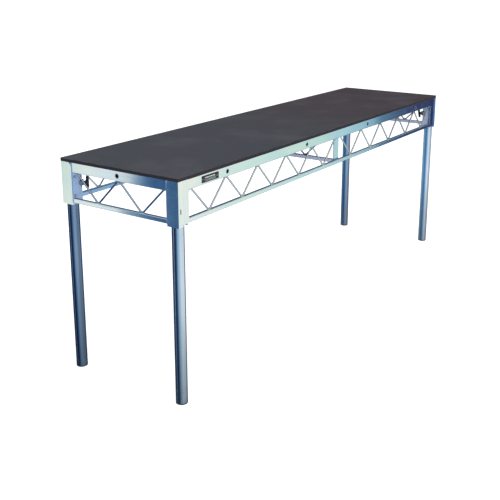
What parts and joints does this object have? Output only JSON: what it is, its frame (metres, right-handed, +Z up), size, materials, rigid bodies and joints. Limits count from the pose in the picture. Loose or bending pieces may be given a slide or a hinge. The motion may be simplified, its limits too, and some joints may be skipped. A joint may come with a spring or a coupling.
{
  "type": "stage riser platform",
  "caption": "Long narrow stage platform: a thin dark deck on a lattice-truss frame, with round tube legs clamped in its corner sockets.",
  "frame": {"origin": "on the floor, under the middle of the deck", "axes": "+X along the long side, +Y across to the back, +Z up; the label is on the front (-Y) side near the left (-X) end"},
  "size_m": [2.44, 0.61, 0.914],
  "materials": {
    "plywood": "dark phenolic-faced plywood, sealed edge",
    "wear_sheet": "dark grey hard-wearing deck surface, fine grain",
    "zinc_frame": "bright zinc plate, lightly brushed",
    "zinc_rod": "bright zinc plate, lightly brushed",
    "zinc_socket": "bright zinc plate, lightly brushed",
    "leg_steel": "galvanised tube, drawn along its length",
    "fixings": "zinc plate",
    "bushes": "turned steel",
    "clamp_steel": "black oxide",
    "black_handle": "moulded, fine texture",
    "foot_plastic": "moulded",
    "label": "black with plain light bars",
    "rivets": "plain"
  },
  "bodies": {
    "frame": {"back_bottom_chord": "zinc_frame", "back_lattice_left": "zinc_rod", "back_lattice_right": "zinc_rod", "back_top_chord": "zinc_frame", "clamp_bosses": "zinc_socket", "corner_post_back_left": "zinc_socket", "corner_post_back_right": "zinc_socket", "corner_post_front_left": "zinc_socket", "corner_post_front_right": "zinc_socket", "cross_bottom_chord": "zinc_frame", "cross_lattice": "zinc_rod", "cross_top_chord": "zinc_frame", "deck_board": "plywood", "deck_cleats": "zinc_frame", "deck_screws": "fixings", "deck_wear_sheet": "wear_sheet", "flange_screws": "fixings", "front_bottom_chord": "zinc_frame", "front_lattice_left": "zinc_rod", "front_lattice_right": "zinc_rod", "front_top_chord": "zinc_frame", "label_plate": "label", "label_rivets": "rivets", "left_bottom_chord": "zinc_frame", "left_lattice": "zinc_rod", "left_top_chord": "zinc_frame", "linking_bushes": "bushes", "middle_plates": "zinc_frame", "right_bottom_chord": "zinc_frame", "right_lattice": "zinc_rod", "right_top_chord": "zinc_frame", "socket_angle_back_left": "zinc_socket", "socket_angle_back_right": "zinc_socket", "socket_angle_front_left": "zinc_socket", "socket_angle_front_right": "zinc_socket", "socket_top_plates": "zinc_socket", "truss_end_flanges": "zinc_frame", "truss_end_plates": "zinc_frame"},
    "leg_front_left": {"leg_front_left": "leg_steel", "leg_foot_front_left": "foot_plastic"},
    "clamp_pad_front_left": {"clamp_pad_front_left": "clamp_steel"},
    "clamp_screw_front_left": {"clamp_screw_front_left": "clamp_steel", "clamp_handle_front_left": "black_handle"},
    "leg_front_right": {"leg_front_right": "leg_steel", "leg_foot_front_right": "foot_plastic"},
    "clamp_pad_front_right": {"clamp_pad_front_right": "clamp_steel"},
    "clamp_screw_front_right": {"clamp_screw_front_right": "clamp_steel", "clamp_handle_front_right": "black_handle"},
    "leg_back_left": {"leg_back_left": "leg_steel", "leg_foot_back_left": "foot_plastic"},
    "clamp_pad_back_left": {"clamp_pad_back_left": "clamp_steel"},
    "clamp_screw_back_left": {"clamp_screw_back_left": "clamp_steel", "clamp_handle_back_left": "black_handle"},
    "leg_back_right": {"leg_back_right": "leg_steel", "leg_foot_back_right": "foot_plastic"},
    "clamp_pad_back_right": {"clamp_pad_back_right": "clamp_steel"},
    "clamp_screw_back_right": {"clamp_screw_back_right": "clamp_steel", "clamp_handle_back_right": "black_handle"}
  },
  "joints": [
    {"name": "leg_slide_front_left", "type": "slide", "parent": "frame", "child": "leg_front_left", "axis": [0, 0, -1], "range_m": [0, 0.15]},
    {"name": "clamp_travel_front_left", "type": "slide", "parent": "frame", "child": "clamp_pad_front_left", "axis": [0.7071, 0.7071, 0], "range_m": [0, 0.004]},
    {"name": "clamp_turn_front_left", "type": "hinge", "parent": "clamp_pad_front_left", "child": "clamp_screw_front_left", "pos_m": [-1.19, -0.275, 0.8078], "axis": [0.7071, 0.7071, 0], "range_deg": [0, 722]},
    {"name": "leg_slide_front_right", "type": "slide", "parent": "frame", "child": "leg_front_right", "axis": [0, 0, -1], "range_m": [0, 0.15]},
    {"name": "clamp_travel_front_right", "type": "slide", "parent": "frame", "child": "clamp_pad_front_right", "axis": [-0.7071, 0.7071, 0], "range_m": [0, 0.004]},
    {"name": "clamp_turn_front_right", "type": "hinge", "parent": "clamp_pad_front_right", "child": "clamp_screw_front_right", "pos_m": [1.19, -0.275, 0.8078], "axis": [-0.7071, 0.7071, 0], "range_deg": [0, 722]},
    {"name": "leg_slide_back_left", "type": "slide", "parent": "frame", "child": "leg_back_left", "axis": [0, 0, -1], "range_m": [0, 0.15]},
    {"name": "clamp_travel_back_left", "type": "slide", "parent": "frame", "child": "clamp_pad_back_left", "axis": [0.7071, -0.7071, 0], "range_m": [0, 0.004]},
    {"name": "clamp_turn_back_left", "type": "hinge", "parent": "clamp_pad_back_left", "child": "clamp_screw_back_left", "pos_m": [-1.19, 0.275, 0.8078], "axis": [0.7071, -0.7071, 0], "range_deg": [0, 722]},
    {"name": "leg_slide_back_right", "type": "slide", "parent": "frame", "child": "leg_back_right", "axis": [0, 0, -1], "range_m": [0, 0.15]},
    {"name": "clamp_travel_back_right", "type": "slide", "parent": "frame", "child": "clamp_pad_back_right", "axis": [-0.7071, -0.7071, 0], "range_m": [0, 0.004]},
    {"name": "clamp_turn_back_right", "type": "hinge", "parent": "clamp_pad_back_right", "child": "clamp_screw_back_right", "pos_m": [1.19, 0.275, 0.8078], "axis": [-0.7071, -0.7071, 0], "range_deg": [0, 722]}
  ],
  "couplings": [
    {"joint": "clamp_turn_front_left", "follows": "clamp_travel_front_left", "rad_per_m": 3141.6},
    {"joint": "clamp_turn_front_right", "follows": "clamp_travel_front_right", "rad_per_m": 3141.6},
    {"joint": "clamp_turn_back_left", "follows": "clamp_travel_back_left", "rad_per_m": 3141.6},
    {"joint": "clamp_turn_back_right", "follows": "clamp_travel_back_right", "rad_per_m": 3141.6}
  ]
}
